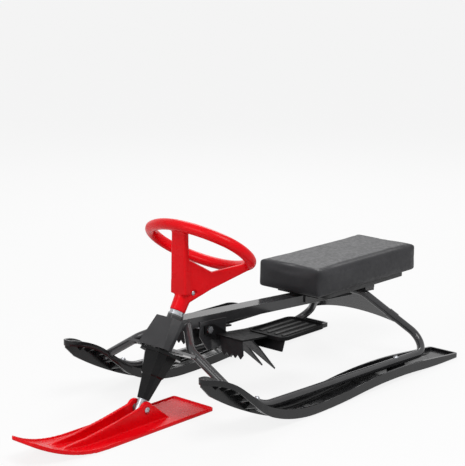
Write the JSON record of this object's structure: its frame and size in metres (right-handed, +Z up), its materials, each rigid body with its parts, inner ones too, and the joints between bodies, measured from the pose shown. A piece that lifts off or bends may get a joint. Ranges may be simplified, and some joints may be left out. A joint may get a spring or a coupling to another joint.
{
  "type": "steering sled",
  "caption": "Steering sled with a padded seat on a tubular frame, side skis, a front ski turned by a steering wheel, and foot brakes with claws.",
  "frame": {"origin": "on the ground, in the middle of the sled's length and width", "axes": "+X forward towards the front ski's tip, +Y to the rider's left, +Z up"},
  "size_m": [1.262, 0.5, 0.4405],
  "materials": {
    "frame_paint": "satin black powder coat",
    "red_plastic": "glossy moulded red",
    "black_gloss": "glossy moulded black",
    "cowl_plastic": "finely textured dark grey",
    "zinc": "bright zinc plate",
    "bush_plastic": "plain moulded",
    "seat_cover": "charcoal artificial leather",
    "board_plastic": "plain black",
    "pedal_plastic": "textured black",
    "brake_steel": "dark grey paint",
    "tread_rubber": "matt ribbed"
  },
  "bodies": {
    "frame": {"brake_bracket": "frame_paint", "head_brace": "frame_paint", "head_tube": "frame_paint", "main_beam": "frame_paint", "rear_gusset": "frame_paint", "rear_leg_left": "frame_paint", "rear_leg_right": "frame_paint", "seat_bracket_front": "frame_paint", "seat_bracket_rear": "frame_paint", "side_tube_left": "frame_paint", "side_tube_right": "frame_paint", "cowl": "cowl_plastic", "beam_plug": "cowl_plastic", "lower_bush": "bush_plastic", "upper_bush": "bush_plastic", "brake_rod": "zinc", "rod_nut_left": "zinc", "rod_nut_right": "zinc", "rear_ski_left": "black_gloss", "rear_ski_right": "black_gloss", "seat_board": "board_plastic", "seat_cushion": "seat_cover", "seat_bolt_front_left": "zinc", "seat_bolt_front_right": "zinc", "seat_bolt_rear_left": "zinc", "seat_bolt_rear_right": "zinc", "ski_screw_left_front": "zinc", "ski_screw_left_rear": "zinc", "ski_screw_right_front": "zinc", "ski_screw_right_rear": "zinc"},
    "steering": {"pivot_spacer_left": "bush_plastic", "pivot_spacer_right": "bush_plastic", "column_tube": "zinc", "lower_collar": "zinc", "upper_washer": "zinc", "wheel_collar": "zinc", "column_cover": "black_gloss", "steering_wheel": "red_plastic", "wheel_bolt": "zinc", "wheel_nut": "zinc"},
    "front_runner": {"front_ski": "red_plastic", "pivot_bolt": "zinc", "pivot_nut": "zinc"},
    "brake_left": {"pedal_left": "pedal_plastic", "brake_blade_left": "brake_steel", "brake_claw_left": "brake_steel", "tread_strip_left_1": "tread_rubber", "tread_strip_left_2": "tread_rubber", "tread_strip_left_3": "tread_rubber", "tread_strip_left_4": "tread_rubber"},
    "brake_right": {"pedal_right": "pedal_plastic", "brake_blade_right": "brake_steel", "brake_claw_right": "brake_steel", "tread_strip_right_1": "tread_rubber", "tread_strip_right_2": "tread_rubber", "tread_strip_right_3": "tread_rubber", "tread_strip_right_4": "tread_rubber"}
  },
  "joints": [
    {"name": "steer", "type": "hinge", "parent": "frame", "child": "steering", "pos_m": [0.294, 0, 0.037], "axis": [-0.5225, 0, 0.8526], "range_deg": [-30, 30]},
    {"name": "ski_pitch", "type": "hinge", "parent": "steering", "child": "front_runner", "pos_m": [0.294, 0, 0.037], "axis": [0, 1, 0], "range_deg": [-15, 15]},
    {"name": "brake_swing_left", "type": "hinge", "parent": "frame", "child": "brake_left", "pos_m": [0.099, 0.0255, 0.18], "axis": [0, -1, 0], "range_deg": [0, 24], "stiffness_Nm_per_rad": 3, "springref_deg": -20.05},
    {"name": "brake_swing_right", "type": "hinge", "parent": "frame", "child": "brake_right", "pos_m": [0.099, -0.0255, 0.18], "axis": [0, -1, 0], "range_deg": [0, 24], "stiffness_Nm_per_rad": 3, "springref_deg": -20.05}
  ]
}
